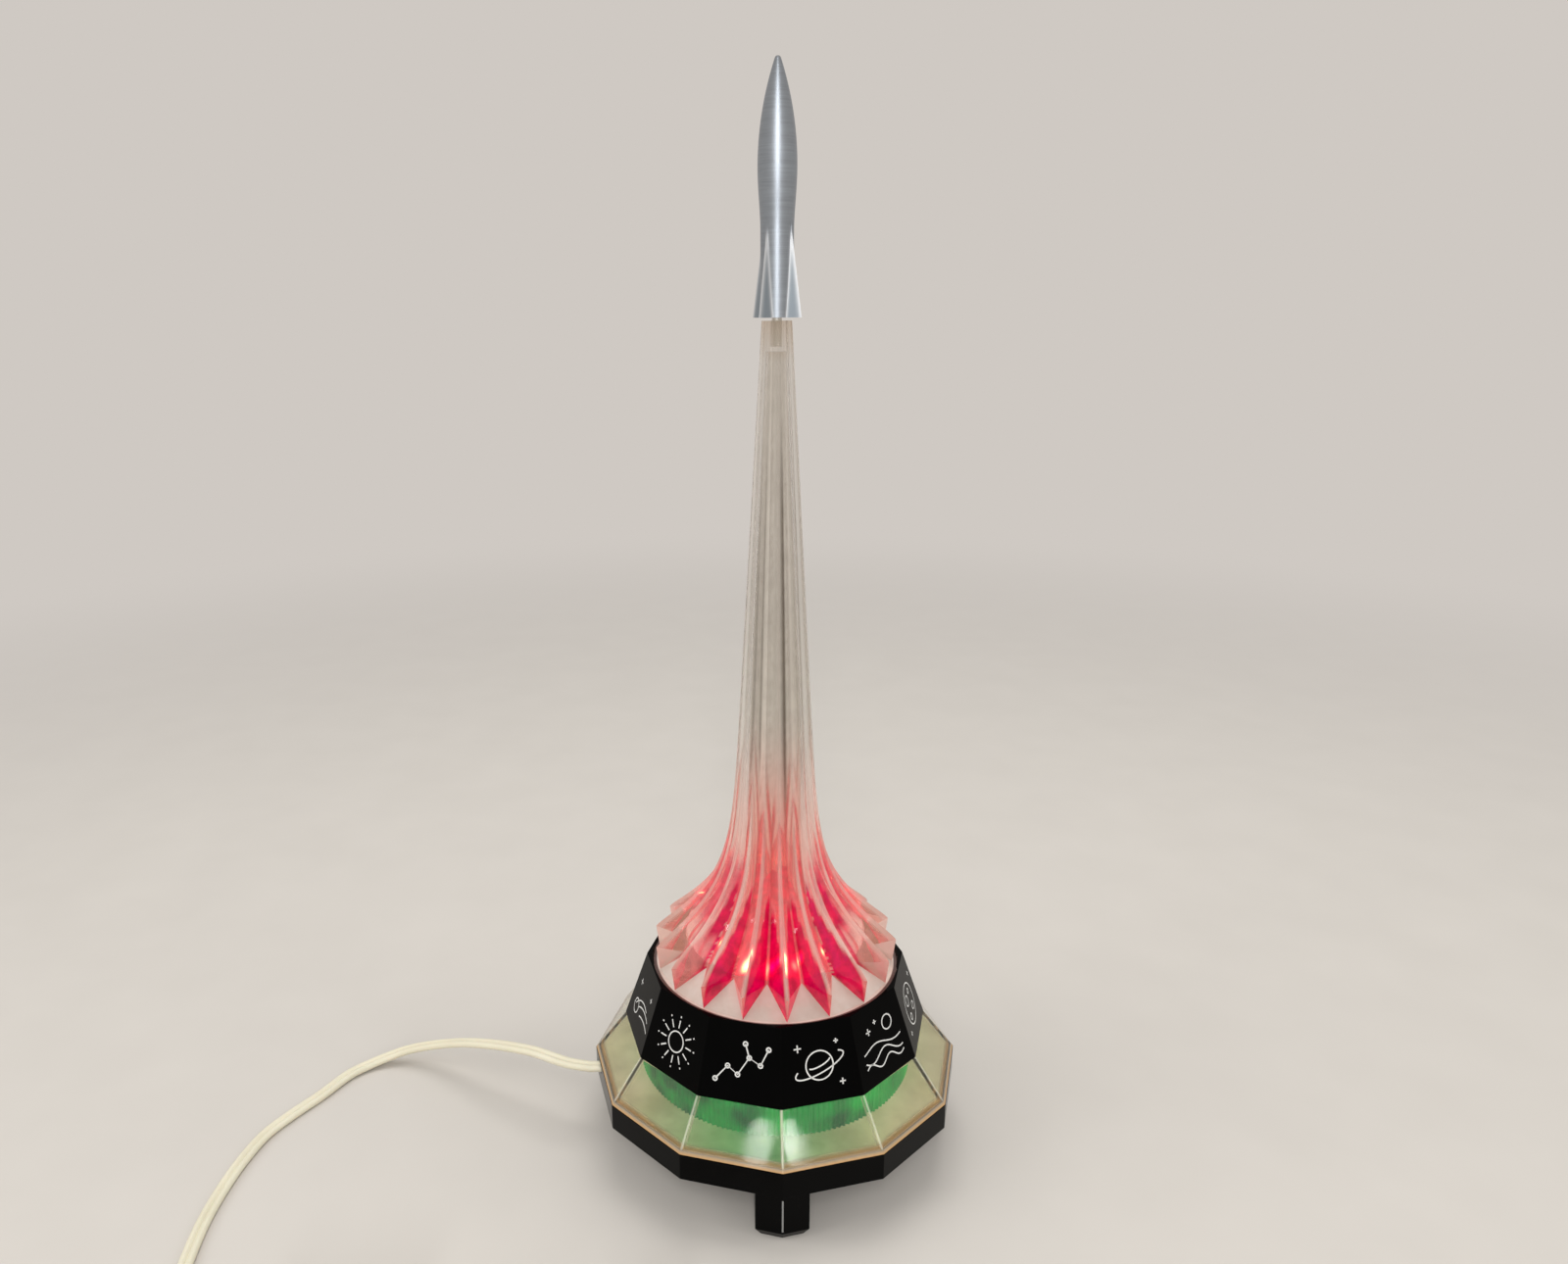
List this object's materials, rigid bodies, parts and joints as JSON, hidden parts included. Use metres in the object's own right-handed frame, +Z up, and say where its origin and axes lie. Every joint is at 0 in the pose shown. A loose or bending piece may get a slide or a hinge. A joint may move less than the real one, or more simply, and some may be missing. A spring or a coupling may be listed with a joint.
{
  "type": "table lamp",
  "caption": "Novelty table lamp: a metal rocket on a clear fluted plume lit through a red filter, over a faceted black collar, clear skirt and footed base, with a switched flex.",
  "frame": {"origin": "on the floor under the plume's axis, in the middle of the base", "axes": "+Z up along the plume to the rocket's point, -Y towards the front corner of the base, +X to the right"},
  "size_m": [0.3338, 0.3026, 0.4644],
  "materials": {
    "base_black": "gloss",
    "deck_white": "enamel",
    "skirt_clear": "clear, yellowed acrylic",
    "filter_green": "translucent, ribbed",
    "collar_black": "gloss with thin white line drawings",
    "diffuser_white": "opal",
    "filter_red": "translucent",
    "plume_clear": "clear acrylic",
    "screw_steel": "zinc",
    "rocket_metal": "satin, turned",
    "stud_steel": "bright",
    "holder_brown": "moulded",
    "contact_brass": "bright",
    "bulb_glass": "clear",
    "bulb_cap": "rolled",
    "bulb_black": "glass insulator",
    "filament": "tungsten",
    "flex_cream": "soft flex",
    "core_white": "core insulation",
    "clamp_dark": "moulded",
    "switch_cream": "moulded",
    "rocker_dark": "moulded",
    "tie_dark": "strap",
    "plug_cream": "moulded"
  },
  "bodies": {
    "lamp": {"base_tray": "base_black", "foot_front": "base_black", "foot_right": "base_black", "foot_left": "base_black", "foot_screws": "screw_steel", "deck_plate": "deck_white", "skirt": "skirt_clear", "green_filter": "filter_green", "collar": "collar_black", "diffuser_ring": "diffuser_white", "red_filter": "filter_red", "plume": "plume_clear", "tie_screws": "screw_steel", "rocket_stud": "stud_steel", "holder_nipple": "screw_steel", "holder_nut": "screw_steel", "holder_body": "holder_brown", "holder_shell": "contact_brass", "holder_contact": "contact_brass", "flex_inside": "flex_cream", "core_wires": "core_white", "cord_clamp": "clamp_dark", "clamp_screws": "screw_steel", "cord_lead": "flex_cream", "switch_base": "switch_cream", "switch_cover": "switch_cream", "switch_contacts": "contact_brass", "switch_screws": "screw_steel", "cord_coil": "flex_cream", "coil_tie": "tie_dark", "plug_lower": "plug_cream", "plug_upper": "plug_cream", "plug_screw": "screw_steel", "plug_pins": "contact_brass"},
    "rocket": {"rocket": "rocket_metal"},
    "bulb": {"bulb_glass": "bulb_glass", "bulb_cap": "bulb_cap", "bulb_insulator": "bulb_black", "bulb_stem": "bulb_glass", "bulb_filament": "filament"},
    "rocker": {"switch_rocker": "rocker_dark"}
  },
  "joints": [
    {"name": "rocket_turn", "type": "hinge", "parent": "lamp", "child": "rocket", "pos_m": [0, 0, 0.3692], "axis": [0, 0, 1], "continuous": true},
    {"name": "bulb_turn", "type": "hinge", "parent": "lamp", "child": "bulb", "pos_m": [0, 0, 0.05], "axis": [0, 0, 1], "continuous": true},
    {"name": "switch_rock", "type": "hinge", "parent": "lamp", "child": "rocker", "pos_m": [-0.169, -0.139, 0.0125], "axis": [0, 1, 0], "range_deg": [-16, 0]}
  ]
}
